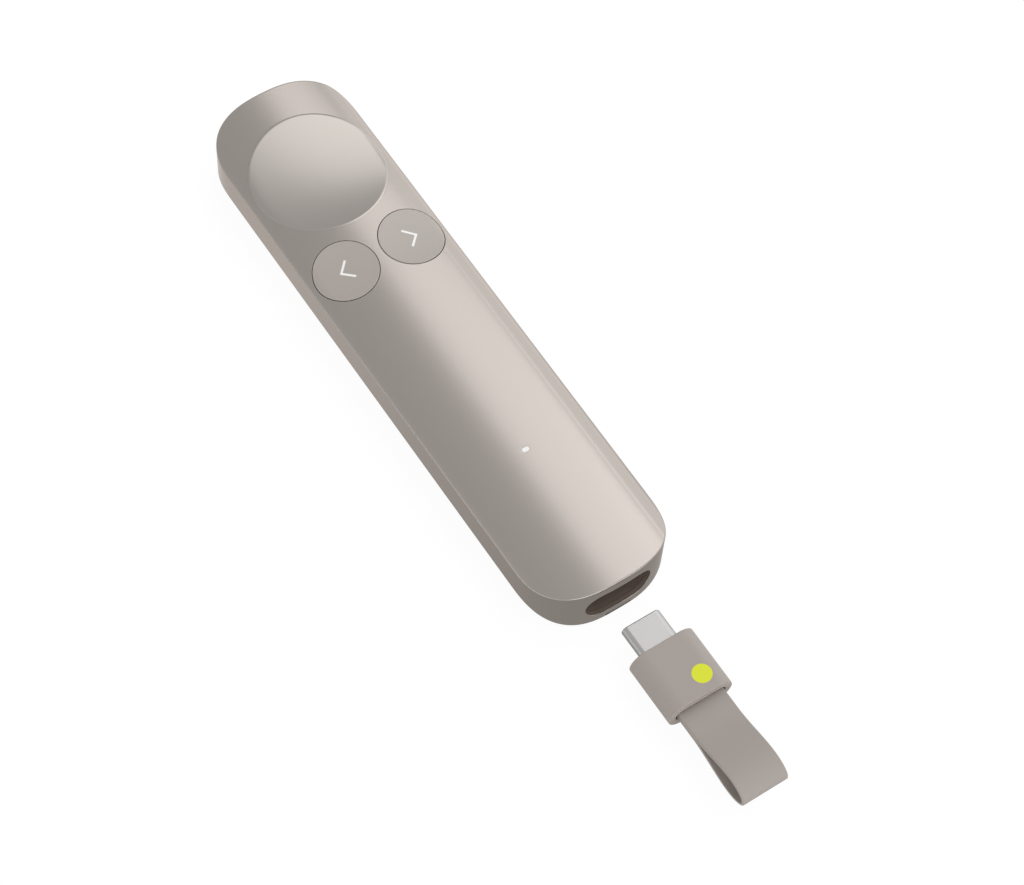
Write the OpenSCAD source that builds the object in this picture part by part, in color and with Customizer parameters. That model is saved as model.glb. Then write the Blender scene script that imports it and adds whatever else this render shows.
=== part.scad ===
// Hand-held presentation clicker with a pull-out USB-C receiver.
// Lengths in millimetres. The origin is the middle of the underside, +Y points to the round
// pointer pad and +Z up through the crowned top. The receiver is drawn pulled out.

/* [Casing] */
// Length of the casing
body_l = 125.9; // [110:0.1:160]
// Width of the casing
body_w = 29.6; // [29:0.1:40]
// Height of the casing
body_t = 12.3; // [12:0.1:18]
// Radius of the crowned top
crown_r = 60; // [45:1:120]
// Distance from the side wall at which the crown turns down
shoulder_in = 3.25; // [2.5:0.05:5]
// Radius of that turn
shoulder_r = 6; // [5:0.1:9]
// Length of each rounded end
end_l = 13.5; // [8:0.1:20]
// Squareness of the ends, where 2 is an ellipse
end_power = 2.72; // [2:0.01:4]
// Height of the lower edge of the side walls
side_z = 2.65; // [1.5:0.05:4]
// Half width of the flat strip underneath
belly_x = 4; // [2:0.1:6]
// Thickness of the side walls
wall = 1; // [0.8:0.05:1.3]
// Thickness of the top wall
top_wall = 1.1; // [0.8:0.05:1.4]
// Thickness of the bottom cover
cover_t = 1.2; // [0.8:0.05:1.5]
// Width of the pry groove under the receiver opening
groove_w = 5.6; // [3:0.1:8]

/* [Pointer pad] */
// Radius of the pointer pad
dish_r = 13.65; // [10:0.05:13.8]
// Distance from its middle to the upper end
dish_end = 21.55; // [20:0.05:30]
// Depth of its hollow
dish_depth = 1.2; // [0.4:0.1:1.4]
// Height of its rim
dish_t = 2.9; // [2.6:0.1:3]
// Travel of the pointer pad
dish_travel = 0.3; // [0.1:0.05:0.3]

/* [Buttons] */
// Radius of a button
button_r = 6.45; // [5:0.05:6.8]
// Distance of a button from the middle line
button_x = 7.38; // [7:0.01:8]
// Distance from the buttons to the upper end
button_end = 43.55; // [43.5:0.05:60]
// Thickness of a button's face
button_t = 1.3; // [1:0.05:1.5]
// Height of a button's face over the top of the casing
button_proud = 0.1; // [0:0.05:0.3]
// Travel of a button
button_travel = 0.3; // [0.1:0.05:0.3]
// Gap round a button
button_gap = 0.12; // [0.05:0.01:0.3]
// Arm length of an arrow
arrow_l = 3.1; // [2:0.1:4]
// Stroke width of an arrow
arrow_w = 0.45; // [0.3:0.05:0.8]

/* [Status light] */
// Distance from the light to the lower end
led_end = 31.65; // [28:0.05:45]
// Width of its window
led_w = 1.45; // [1:0.05:3]
// Height of its window
led_h = 0.9; // [0.6:0.05:1.2]

/* [Receiver] */
// Width of the receiver's cap
cap_w = 13.8; // [12:0.1:17]
// Height of the cap
cap_h = 6.9; // [6.4:0.1:7.2]
// Length of the cap
cap_l = 12.6; // [12:0.1:18]
// Wall of the cap
cap_wall = 0.9; // [0.7:0.05:1.1]
// Depth of the receiver's middle under the crown
slot_depth = 6.25; // [6.2:0.05:7]
// Clearance between cap and opening
slot_gap = 0.2; // [0.1:0.05:0.4]
// Distance from the casing to the tip of the pulled-out plug
pull_gap = 6.25; // [2:0.05:30]
// Diameter of the printed mark
mark_d = 3.8; // [2:0.1:5]

/* [Strap] */
// Width of the strap
strap_w = 9.8; // [8:0.1:10]
// Thickness of the strap where it is a loop
strap_t = 0.6; // [0.4:0.05:0.8]
// Length of the loop behind the receiver
strap_l = 20; // [16:0.1:40]
// Outer height of the open end of the loop
loop_h = 5.7; // [3:0.1:8]

/* [Power and board] */
// Length of the battery
battery_l = 44; // [30:0.5:56]
// Width of the battery
battery_w = 17; // [12:0.5:18]
// Thickness of the battery
battery_t = 4.2; // [3:0.1:4.4]
// Thickness of the circuit board
pcb_t = 0.8; // [0.6:0.1:1]

/* [Hidden] */
$fn = 64;
round_fn = 128; // of long arcs
fine_fn = 256; // of the crown and the pad's hollow

// clearances
fit = 0.05; // between pieces that are seated together
part_gap = 0.15; // round the bottom cover
dish_gap = 0.07; // round the pointer pad
under_gap = 0.25; // over the ears that hold a button or the pad in
stow_gap = 0.25; // left in front of the stowed cap
stow_proud = 0.15; // of the stowed cap outside the casing
far = 100; // reach of a cut that only has to pass through
over = 1; // by which a cut or a blank runs past a face

// casing
half_w = body_w / 2;
half_l = body_l / 2;
end_points = 12; // points per quarter of an end
shoulder_x = half_w - shoulder_in;
turn = asin(shoulder_x / crown_r);
shoulder_cx = shoulder_x - shoulder_r * sin(turn);
shoulder_cz = body_t - crown_r + (crown_r - shoulder_r) * cos(turn);
belly_dx = half_w - belly_x;
belly_r = (belly_dx * belly_dx + side_z * side_z) / (2 * side_z);
groove_z = 0.95; // middle of the pry groove
groove_h = 0.4;
groove_depth = 0.6;

// heights of the receiver and the board
slot_z = body_t - slot_depth;
slot_w = cap_w + 2 * slot_gap;
slot_h = cap_h + 2 * slot_gap;
port_w = 8.94; // outer size of a USB-C socket
port_h = 3.16;
port_in_w = 8.34;
port_in_h = 2.56;
port_l = 7.35;
port_back = 0.65; // thickness of its closed end
pcb_z = slot_z + port_h / 2;
pcb_top = pcb_z + pcb_t;

// the bay, from the lower end inwards
bay_wall = 0.5;
bay_end = -half_l - stow_proud + cap_l + stow_gap;
bay_back = bay_end + bay_wall;
port_y = bay_end + 2 * fit;

// chassis and board
rail_t = 1.6;
rail_in = wall + 2 * fit + rail_t;
bar_y = bay_back + fit;
bar_t = 1.5;
boss_r = 1.8;
boss_gap = 0.3; // between the bosses and the bar at the lower end
boss_in = 4.2; // from the side of the casing
boss_end = 11.2; // from its upper end
boss_x = half_w - boss_in;
boss_ys = [bar_y + bar_t + boss_r + boss_gap, half_l - boss_end];
screw_r = 0.6;
screw_head_r = 1.1;
screw_head_h = 0.6;
screw_l = 3;
clip_ys = [-20, 20];
clip_w = 4;
clip_t = 0.8;
clip_top = 5.2;
clip_bump = 0.4;
clip_bump_h = 0.6;
pcb_in = wall + 2 * part_gap;

// pointer pad, buttons and what they press
switch_h = 0.55;
switch_w = 3.6;
dome_r = 1.1;
switch_top = pcb_top + switch_h;
dish_y = half_l - dish_end;
dish_mid = body_t - dish_depth;
dish_base = body_t - dish_t;
dish_web = 1.2; // left over the pocket
dish_pocket_r = 3.6;
dish_along = dish_r * dish_r / (2 * dish_depth); // radius of the hollow along the casing
dish_bend = 1 / crown_r - 1 / dish_along; // curvature that is left of the crown across it
dish_steps = 12; // strips on each side of the middle
ear = 1.1; // reach of an ear under the shell
dish_ear_w = 8;
press_gap = 0.35; // between a pressed switch and its plunger, more than the travel
button_y = half_l - button_end;
tilt = asin(button_x / crown_r);
button_z = body_t - crown_r + crown_r * cos(tilt);
skirt_t = 1.2;
skirt_h = 2;
ear_t = 0.6;
button_ear_w = 3;
plunger_r = 1.4;
plunger_l = (button_z - switch_top) / cos(tilt) - button_t - press_gap - plunger_r * sin(tilt);
switch_x = button_x - (button_z - switch_top) * tan(tilt);
arrow_t = 0.2;

// status light
led_y = -half_l + led_end;
led_chip = [1.6, 0.8, 0.6];
guide_flange = 0.8;
guide_flange_t = 0.5;

// battery
battery_y = -12; // middle
pad_t = 0.6;
pad_in = 2; // from each end of the battery
connector = [4, 3, 1.2];
connector_gap = 1; // from the battery

// what is on the board, as width, length and height
processor = [6, 6, 0.85];
processor_y = button_y - 27;
sensor = [3, 3, 0.9];
sensor_x = 7;
radio = [4, 4, 0.8];
radio_y = button_y - 15;
shield = [11, 9, 1.2];
shield_t = 0.2;
antenna = [3.2, 1.6, 1.1];
antenna_y = half_l - 4;
charger = [2.5, 2.5, 0.8];
charger_y = led_y - 7;
motor_r = 4;
motor_h = 2.7;

// receiver
plug_w = 8.25; // outer size of a USB-C plug
plug_h = 2.4;
plug_out = 6.65; // exposed length
plug_in = 4; // length held in the cap
plug_wall = 0.2;
tongue_w = 6.69;
tongue_t = 0.7;
tongue_back = 0.7; // from the mouth of the socket to the tip of its tongue
plug_tip = -half_l - pull_gap;
cap_front = plug_tip - plug_out;
cap_rear = cap_front - cap_l;
core_w = cap_w - 2 * cap_wall - 2 * fit;
core_h = cap_h - 2 * cap_wall - 2 * fit;
front_t = 1; // front plate of the receiver
rear_t = 1.4; // rear wall of the cap
core_rear = cap_rear + rear_t + fit;
pin_r = 0.4;
pin_y = cap_rear + 2.6;
strap_eye_r = pin_r + fit + strap_t; // of the strap's eye round the pin
slot_front = pin_y + strap_eye_r + part_gap;
core_wall = 0.6; // in front of the strap's slot
core_front = slot_front + core_wall;
strap_slot_w = strap_w + 1.1;
strap_slot_h = 3.2;
receiver_pcb_w = 10.5;
receiver_pcb_t = 0.8;
receiver_chip = [2.6, 2.6, 0.7];
receiver_chip_y = core_front + 0.4;
tongue_in = plug_out - stow_gap - 2 * fit - tongue_back + part_gap; // slot for the socket's tongue
receiver_pcb_y = cap_front - plug_in - fit;
mark_x = 2.4;
mark_in = 9; // from the front of the cap
mark_y = cap_front - mark_in;
mark_t = 0.2;

// strap, in side view from its pin
strap_neck = 7.2; // from the pin to where the loop opens
strap_round = 4.6; // length of the rounded end
strap_steps = 16;

// ---- shared shapes

// Outline of the casing seen from above, drawn in by n
module plan(n) {
    a = half_w - n;
    b = end_l - n;
    c = half_l - end_l;
    e = 2 / end_power;
    quarter = [for (i = [0:end_points]) let (t = 90 * i / end_points)
        [a * pow(cos(t), e), c + b * pow(sin(t), e)]];
    half = concat(quarter, [for (i = [end_points - 1:-1:0]) [-quarter[i][0], quarter[i][1]]]);
    polygon(concat(half, [for (p = half) [-p[0], -p[1]]]));
}

// Cross section of the casing, drawn in by side, top and bottom
module section(side, top, bottom) {
    intersection() {
        translate([side - half_w, -over])
            square([2 * (half_w - side), body_t + 2 * over]);
        union() {
            intersection() {
                translate([0, body_t - crown_r])
                    circle(r = crown_r - top, $fn = fine_fn);
                translate([0, body_t - crown_r])
                    polygon([[0, 0], [2 * crown_r * tan(turn), 2 * crown_r],
                        [-2 * crown_r * tan(turn), 2 * crown_r]]);
            }
            for (s = [-1, 1])
                translate([s * shoulder_cx, shoulder_cz])
                    circle(r = shoulder_r - top);
            translate([-half_w, -over])
                square([body_w, shoulder_cz + over]);
        }
        union() {
            for (s = [-1, 1])
                translate([s * belly_x, belly_r])
                    circle(r = belly_r - bottom, $fn = round_fn);
            translate([-belly_x, bottom])
                square([2 * belly_x, 2 * body_t]);
        }
    }
}

// A shape of the x-z plane drawn out along y, from y0 to y1
module along_y(y0, y1) {
    translate([0, y1, 0])
        rotate([90, 0, 0])
            linear_extrude(height = y1 - y0)
                children();
}

// The casing's solid, drawn in by n at the outline and by top and bottom at the faces
module casing(n, top, bottom) {
    intersection() {
        translate([0, 0, -over])
            linear_extrude(height = body_t + 2 * over)
                plan(n);
        along_y(-half_l - over, half_l + over)
            section(n, top, bottom);
    }
}

// The space over the bottom cover, which may reach the outline drawn in by n
module inner_space(n) {
    casing(n, top_wall + fit, cover_t + fit);
}

// Flat oval of width w and height h
module oval(w, h) {
    for (s = [-1, 1])
        translate([s * (w - h) / 2, 0])
            circle(d = h);
    square([w - h, h], center = true);
}

module oval_bar(w, h, y0, y1) {
    along_y(y0, y1)
        translate([0, slot_z])
            oval(w, h);
}

// Box from corner a to corner b
module block(a, b) {
    translate(a)
        cube(b - a);
}

// Chip of a size [w, l, h] on the board's upper face
module chip(x, y, size) {
    translate([x - size[0] / 2, y - size[1] / 2, pcb_top])
        cube(size);
}

// A button's own frame: the casing's top is in the plane z = 0 and it is pressed along -z
module button_frame(side) {
    translate([side * button_x, button_y, button_z])
        rotate([0, side * tilt, 0])
            children();
}

module screw_places() {
    for (s = [-1, 1], y = boss_ys)
        translate([s * boss_x, y, 0])
            children();
}

// ---- casing

module top_shell() {
    color("#b3aba4")
        difference() {
            casing(0, 0, 0);
            intersection() {
                translate([0, 0, -over])
                    linear_extrude(height = body_t + over)
                        plan(wall);
                along_y(-half_l, half_l)
                    union() {
                        section(wall, top_wall, 0);
                        translate([wall - half_w, -over])
                            square([2 * (half_w - wall), shoulder_cz]);
                    }
            }
            translate([0, dish_y, dish_base - dish_travel - under_gap])
                cylinder(r = dish_r + dish_gap, h = far, $fn = round_fn);
            for (s = [-1, 1])
                button_frame(s)
                    translate([0, 0, -button_travel - skirt_h])
                        cylinder(r = button_r + button_gap, h = far);
            translate([0, led_y, slot_z])
                linear_extrude(height = far)
                    oval(led_w + 2 * fit, led_h + 2 * fit);
            oval_bar(slot_w, slot_h, -far, bay_end);
            block([-groove_w / 2, -half_l - over, groove_z - groove_h / 2],
                [groove_w / 2, -half_l + groove_depth, groove_z + groove_h / 2]);
        }
}

module bottom_cover() {
    color("#8f8882")
        difference() {
            casing(wall + part_gap, 0, 0);
            along_y(-half_l, half_l)
                union() {
                    section(0, 0, cover_t);
                    translate([-half_w, body_t / 2])
                        square([body_w, body_t]);
                }
        }
    color("#8f8882")
        for (s = [-1, 1], y = clip_ys)
            clip(s, y);
}

// Snap clip that stands on the bottom cover and hooks into the chassis
module clip(side, y) {
    x = half_w - rail_in - fit;
    intersection() {
        casing(wall, 0, cover_t);
        union() {
            mirror([side < 0 ? 1 : 0, 0, 0])
                block([x - clip_t, y - clip_w / 2, 0], [x, y + clip_w / 2, clip_top]);
            mirror([side < 0 ? 1 : 0, 0, 0])
                block([x - clip_t, y - clip_w / 2, clip_top - clip_bump_h],
                    [x + clip_bump, y + clip_w / 2, clip_top]);
        }
    }
}

module chassis() {
    color("#3a3c3f")
        difference() {
            intersection() {
                inner_space(wall + 2 * fit);
                block([-half_w, bar_y, 0], [half_w, half_l, pcb_z]);
                union() {
                    difference() {
                        block([-half_w, bar_y, 0], [half_w, half_l, pcb_z]);
                        translate([0, 0, -over])
                            linear_extrude(height = body_t)
                                plan(rail_in);
                    }
                    block([-half_w, bar_y, 0], [half_w, bar_y + bar_t, pcb_z]);
                    screw_places()
                        cylinder(r = boss_r, h = pcb_z);
                }
            }
            block([-port_w / 2 - 2 * fit, bar_y - over, slot_z - port_h / 2 - 2 * fit],
                [port_w / 2 + 2 * fit, bar_y + bar_t + over, body_t]);
            screw_places()
                translate([0, 0, pcb_top - screw_l - fit])
                    cylinder(r = screw_r + fit / 2, h = screw_l);
            for (s = [-1, 1], y = clip_ys)
                clip_pocket(s, y);
        }
}

module clip_pocket(side, y) {
    x = half_w - rail_in;
    mirror([side < 0 ? 1 : 0, 0, 0])
        block([x - over, y - clip_w / 2 - part_gap, clip_top - clip_bump_h - part_gap],
            [x + clip_bump + part_gap, y + clip_w / 2 + part_gap, clip_top + part_gap]);
}

module receiver_bay() {
    color("#453b35")
        intersection() {
            difference() {
                oval_bar(slot_w + 2 * bay_wall, slot_h + 2 * bay_wall, -far, bay_back);
                oval_bar(slot_w, slot_h, -far, bay_end);
                oval_bar(port_w + 2 * fit, port_h + 2 * fit, -far, far);
            }
            casing(wall + fit, top_wall + fit, cover_t + fit);
        }
}

// ---- pointer pad and buttons

// Space over the pad's face: a profile turned about an axis across the casing, high above the pad
module dish_hollow() {
    reach = dish_r + over;
    face = [for (i = [-dish_steps:dish_steps]) let (x = reach * i / dish_steps)
        [dish_along + x * x * dish_bend / 2, x]];
    translate([0, dish_y, dish_mid + dish_along])
        rotate([0, 90, 0])
            rotate_extrude($fn = fine_fn)
                polygon(concat([[0, -reach]], face, [[0, reach]]));
}

module pointer_dish() {
    color("#c4bdb6")
        difference() {
            union() {
                intersection() {
                    casing(0, 0, 0);
                    translate([0, dish_y, dish_base])
                        cylinder(r = dish_r, h = body_t, $fn = round_fn);
                }
                intersection() {
                    casing(wall + under_gap, top_wall + under_gap, 0);
                    block([-dish_ear_w / 2, dish_y - dish_r - ear, dish_base],
                        [dish_ear_w / 2, dish_y + dish_r + ear, body_t]);
                    difference() {
                        translate([0, dish_y, dish_base])
                            cylinder(r = dish_r + ear, h = body_t);
                        translate([0, dish_y, 0])
                            cylinder(r = dish_r - ear, h = far);
                    }
                }
            }
            dish_hollow();
            translate([0, dish_y, 0])
                cylinder(r = dish_pocket_r, h = dish_mid - dish_web);
        }
}

module dish_plunger() {
    color("#3a3c3f")
        translate([0, dish_y, switch_top + press_gap])
            cylinder(r = plunger_r, h = dish_mid - dish_web - switch_top - press_gap);
}

module button(side) {
    difference() {
        union() {
            intersection() {
                casing(0, -button_proud, 0);
                button_frame(side)
                    translate([0, 0, -skirt_h])
                        cylinder(r = button_r, h = far);
            }
            button_frame(side)
                difference() {
                    intersection() {
                        block([-button_ear_w / 2, -button_r - ear, -skirt_h],
                            [button_ear_w / 2, button_r + ear, ear_t - skirt_h]);
                        translate([0, 0, -skirt_h])
                            cylinder(r = button_r + ear, h = skirt_h);
                    }
                    translate([0, 0, -far])
                        cylinder(r = button_r - skirt_t, h = far);
                }
        }
        button_frame(side)
            translate([0, 0, -far - button_t])
                cylinder(r = button_r - skirt_t, h = far);
        arrow(side, fit / 2);
    }
}

module back_button() {
    color("#a79f98")
        button(-1);
}

module next_button() {
    color("#b3aba4")
        button(1);
}

// Chevron laid into the face of a button, its point outwards, widened by grow
module arrow(side, grow) {
    w = arrow_w / 2 + grow;
    tip = side * arrow_l * sqrt(0.5) / 2;
    intersection() {
        casing(0, -button_proud, 0);
        button_frame(side)
            translate([tip, 0, button_proud - arrow_t - grow])
                linear_extrude(height = far)
                    for (a = [-1, 1])
                        rotate(a * side * 45 + (side > 0 ? 180 : 0))
                            translate([-w, -w])
                                square([arrow_l + 2 * w, 2 * w]);
    }
}

module back_arrow() {
    color("#e8e8e6")
        arrow(-1, 0);
}

module next_arrow() {
    color("#e8e8e6")
        arrow(1, 0);
}

module button_plunger(side) {
    button_frame(side)
        translate([0, 0, -button_t - plunger_l])
            cylinder(r = plunger_r, h = plunger_l);
}

module back_plunger() {
    color("#3a3c3f")
        button_plunger(-1);
}

module next_plunger() {
    color("#3a3c3f")
        button_plunger(1);
}

module press_switch(x, y) {
    chip(x, y, [switch_w, switch_w, switch_h / 2]);
    translate([x, y, pcb_top + switch_h / 2])
        cylinder(r = dome_r, h = switch_h / 2);
}

module dish_switch() {
    color("#c9c9c7")
        press_switch(0, dish_y);
}

module back_switch() {
    color("#c9c9c7")
        press_switch(-switch_x, button_y);
}

module next_switch() {
    color("#c9c9c7")
        press_switch(switch_x, button_y);
}

// ---- board and what is on it

module led_light_guide() {
    color("#ebebea") {
        intersection() {
            casing(0, 0, 0);
            translate([0, led_y, pcb_top + led_chip[2] + part_gap])
                linear_extrude(height = far)
                    oval(led_w, led_h);
        }
        intersection() {
            inner_space(wall);
            translate([0, led_y, body_t - top_wall - guide_flange_t])
                linear_extrude(height = far)
                    oval(led_w + 2 * guide_flange, led_h + 2 * guide_flange);
        }
    }
}

module status_led() {
    color("#f4f2e8")
        chip(0, led_y, led_chip);
}

module main_pcb() {
    color("#1f4a38")
        difference() {
            intersection() {
                translate([0, 0, pcb_z])
                    linear_extrude(height = pcb_t)
                        plan(pcb_in);
                block([-half_w, bar_y, 0], [half_w, half_l, body_t]);
            }
            screw_places()
                cylinder(r = screw_r + 2 * fit, h = body_t);
        }
}

module pcb_screws() {
    color("#c9c9c7")
        screw_places()
            translate([0, 0, pcb_top]) {
                cylinder(r = screw_head_r, h = screw_head_h);
                translate([0, 0, -screw_l])
                    cylinder(r = screw_r, h = screw_l);
            }
}

module processor_chip() {
    color("#2a2b2e")
        chip(0, processor_y, processor);
}

module motion_sensor() {
    color("#2a2b2e")
        chip(sensor_x, processor_y, sensor);
}

// Sheet metal can over the radio
module radio_shield() {
    color("#c9c9c7")
        difference() {
            chip(0, radio_y, shield);
            translate([0, 0, -over])
                chip(0, radio_y, shield + [-2 * shield_t, -2 * shield_t, over - shield_t]);
        }
}

module radio_chip() {
    color("#2a2b2e")
        chip(0, radio_y, radio);
}

module chip_antenna() {
    color("#e4e0d4")
        chip(0, antenna_y, antenna);
}

module charger_chip() {
    color("#2a2b2e")
        chip(-sensor_x, charger_y, charger);
}

module battery_pad() {
    color("#4a4d50")
        block([-belly_x, battery_y - battery_l / 2 + pad_in, cover_t],
            [belly_x, battery_y + battery_l / 2 - pad_in, cover_t + pad_t]);
}

module battery_cell() {
    color("#c8ccd0")
        block([-battery_w / 2, battery_y - battery_l / 2, cover_t + pad_t],
            [battery_w / 2, battery_y + battery_l / 2, cover_t + pad_t + battery_t]);
}

module battery_connector() {
    color("#e4e0d4")
        translate([-connector[0] / 2, battery_y + battery_l / 2 + connector_gap,
            pcb_z - connector[2]])
            cube(connector);
}

module vibration_motor() {
    color("#c9c9c7")
        translate([0, dish_y, pcb_z - motor_h])
            cylinder(r = motor_r, h = motor_h);
}

module charge_port_shell() {
    color("#c9c9c7")
        difference() {
            oval_bar(port_w, port_h, port_y, port_y + port_l);
            oval_bar(port_in_w, port_in_h, port_y - over, port_y + port_l - port_back);
        }
}

module charge_port_tongue() {
    color("#2a2b2e")
        block([-tongue_w / 2, port_y + tongue_back, slot_z - tongue_t / 2],
            [tongue_w / 2, port_y + port_l - port_back, slot_z + tongue_t / 2]);
}

// ---- receiver

module receiver_cap() {
    color("#a59d97")
        difference() {
            oval_bar(cap_w, cap_h, cap_rear, cap_front);
            oval_bar(cap_w - 2 * cap_wall, cap_h - 2 * cap_wall, cap_rear + rear_t, far);
            oval_bar(strap_slot_w, strap_slot_h, -2 * far, cap_front);
            mark_disc(fit / 2);
        }
}

// Plate that closes the cap round the plug
module receiver_front() {
    color("#a59d97")
        difference() {
            oval_bar(core_w, core_h, cap_front - front_t, cap_front);
            oval_bar(plug_w + fit, plug_h + fit, cap_rear, far);
        }
}

module mark_disc(grow) {
    translate([mark_x, mark_y, slot_z + cap_h / 2 - mark_t - grow])
        cylinder(d = mark_d + 2 * grow, h = mark_t + 2 * grow);
}

module receiver_mark() {
    color("#d5dc3a")
        mark_disc(0);
}

// Insert behind the circuit board that carries the strap's pin
module receiver_core() {
    color("#5b524c")
        difference() {
            oval_bar(core_w, core_h, core_rear, core_front);
            oval_bar(strap_slot_w, strap_slot_h, cap_rear, slot_front);
            pin(core_w, fit / 2);
        }
}

module pin(l, grow) {
    translate([-l / 2, pin_y, slot_z])
        rotate([0, 90, 0])
            cylinder(r = pin_r + grow, h = l);
}

module strap_pin() {
    color("#c9c9c7")
        pin(core_w - 2 * fit, 0);
}

module usb_plug_shell() {
    color("#cbcbc9")
        difference() {
            oval_bar(plug_w, plug_h, cap_front - plug_in, plug_tip);
            oval_bar(plug_w - 2 * plug_wall, plug_h - 2 * plug_wall,
                cap_front - plug_in - over, plug_tip + over);
        }
}

module usb_plug_insert() {
    color("#2a2b2e")
        difference() {
            oval_bar(plug_w - 2 * plug_wall, plug_h - 2 * plug_wall, cap_front - plug_in,
                plug_tip - plug_wall);
            block([-tongue_w / 2 - 2 * fit, plug_tip - tongue_in - plug_wall,
                slot_z - tongue_t / 2 - 2 * fit],
                [tongue_w / 2 + 2 * fit, plug_tip + over, slot_z + tongue_t / 2 + 2 * fit]);
        }
}

module receiver_pcb() {
    color("#1f4a38")
        block([-receiver_pcb_w / 2, core_front + fit, slot_z - receiver_pcb_t / 2],
            [receiver_pcb_w / 2, receiver_pcb_y, slot_z + receiver_pcb_t / 2]);
}

module receiver_chip() {
    color("#2a2b2e")
        translate([-receiver_chip[0] / 2, receiver_chip_y, slot_z + receiver_pcb_t / 2])
            cube(receiver_chip);
}

// Side view of the strap, y along the casing and z over the receiver's middle: an eye round the
// pin, a solid neck, and a loop whose two runs part behind the neck and meet in a rounded end.

// Smooth step from 0 to 1
function ease(t) = t * t * (3 - 2 * t);

// Outline of the loop, whose half height grows from h0 at the neck to h1, or of its opening,
// where h0 is 0. Its rounded end is drawn in by n.
function loop_side(h0, h1, n) = let (
        y1 = pin_y - strap_neck,
        y2 = cap_rear - strap_l + strap_round,
        run = [for (i = [0:strap_steps]) let (t = i / strap_steps)
            [y1 + (y2 - y1) * t, h0 + (h1 - h0) * ease(t)]],
        end = [for (a = [75:-15:-75]) [y2 - (strap_round - n) * cos(a), h1 * sin(a)]])
    concat(run, end, [for (i = [strap_steps:-1:h0 > 0 ? 0 : 1]) [run[i][0], -run[i][1]]]);

module strap_loop() {
    color("#9e9690")
        translate([-strap_w / 2, 0, slot_z])
            rotate([90, 0, 90])
                linear_extrude(height = strap_w)
                    difference() {
                        union() {
                            translate([pin_y, 0])
                                circle(r = strap_eye_r);
                            translate([pin_y - strap_neck, -strap_eye_r])
                                square([strap_neck, 2 * strap_eye_r]);
                            polygon(loop_side(strap_eye_r, loop_h / 2, 0));
                        }
                        translate([pin_y, 0])
                            circle(r = pin_r + fit);
                        polygon(loop_side(0, loop_h / 2 - strap_t, strap_t));
                    }
}

top_shell();
bottom_cover();
chassis();
pointer_dish();
back_button();
next_button();
back_arrow();
next_arrow();
led_light_guide();
status_led();
main_pcb();
pcb_screws();
processor_chip();
motion_sensor();
radio_shield();
radio_chip();
chip_antenna();
charger_chip();
battery_cell();
battery_pad();
battery_connector();
vibration_motor();
dish_switch();
back_switch();
next_switch();
dish_plunger();
back_plunger();
next_plunger();
receiver_bay();
charge_port_shell();
charge_port_tongue();
receiver_cap();
receiver_core();
receiver_front();
usb_plug_shell();
usb_plug_insert();
receiver_pcb();
receiver_chip();
receiver_mark();
strap_loop();
strap_pin();
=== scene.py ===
"""Looks of a presentation clicker with a pull-out receiver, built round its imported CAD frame."""

import math

import bmesh
import bpy
import numpy as np
from mathutils import Matrix, Vector
from mathutils.geometry import delaunay_2d_cdt


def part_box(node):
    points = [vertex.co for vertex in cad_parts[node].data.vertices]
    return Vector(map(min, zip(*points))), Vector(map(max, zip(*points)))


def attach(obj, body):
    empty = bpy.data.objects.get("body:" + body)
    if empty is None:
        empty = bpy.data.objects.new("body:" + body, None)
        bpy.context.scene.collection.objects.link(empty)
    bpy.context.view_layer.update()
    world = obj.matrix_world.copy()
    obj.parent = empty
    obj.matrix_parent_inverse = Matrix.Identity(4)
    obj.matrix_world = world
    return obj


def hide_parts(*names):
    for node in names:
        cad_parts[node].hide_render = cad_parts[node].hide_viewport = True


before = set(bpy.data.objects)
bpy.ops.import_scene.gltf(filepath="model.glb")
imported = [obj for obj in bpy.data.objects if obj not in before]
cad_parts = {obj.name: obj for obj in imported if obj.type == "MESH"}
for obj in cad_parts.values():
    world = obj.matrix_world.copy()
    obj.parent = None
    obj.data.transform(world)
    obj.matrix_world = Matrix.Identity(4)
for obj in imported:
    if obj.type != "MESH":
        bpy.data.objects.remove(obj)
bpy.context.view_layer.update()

MM = 0.001


def cad(node):
    """Lowest and highest corner of a CAD node, in millimetres."""
    low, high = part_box(node)
    return low / MM, high / MM


# ---- sizes, in millimetres. They are the CAD's, or of this script alone, unless a comment
# gives the CAD's own value
shell_high = cad("top_shell")[1]
HALF_W = shell_high.x
HALF_L = shell_high.y
BODY_T = shell_high.z
CROWN_R = 60
SHOULDER_X = HALF_W - 3.25
SHOULDER_R = 6
END_L = 13.5  # length of a rounded end
END_POWER = 2.72  # of its superellipse, where 2 is an ellipse
SIDE_Z = 2.65  # height at which the underside meets the sides
BELLY_X = 4  # half the width of the flat strip
WALL = 1
TOP_WALL = 1.1
COVER_T = 1.2
COVER_GAP = 0.12  # CAD 0.15
DISH_R = 13.65
DISH_Y = HALF_L - 21.55
DISH_DEPTH = 1.18  # CAD 1.2
DISH_BASE = BODY_T - 2.9
DISH_GAP = 0.01  # CAD 0.07
POCKET_R = 3.6
POCKET_TOP = BODY_T - 2.4
BUTTON_R = 6.45
BUTTON_X = 7.38
BUTTON_Y = HALF_L - 43.55
BUTTON_GAP = 0.12
BUTTON_PROUD = 0.1
BUTTON_HOLLOW = 0.32  # CAD 0
BUTTON_T = 1.3
SKIRT_T = 1.2
SKIRT_H = 2
GROOVE_W = 5.6
GROOVE_H = 0.44  # CAD 0.4
GROOVE_Z = 0.8  # CAD 0.95
GROOVE_DEPTH = 0.6
ARROW_L = 2.9  # CAD 3.1
ARROW_W = 0.45
ARROW_PROUD = 0.02  # CAD 0
ARROW_T = 0.2
LED_Y = -HALF_L + 31.65
LED_W = 1.45
LED_H = 0.9
LED_GAP = 0.01  # CAD 0.05
WINDOW_T = 1.2  # the CAD's light guide reaches deeper
cap_low, cap_high = cad("receiver_cap")
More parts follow.
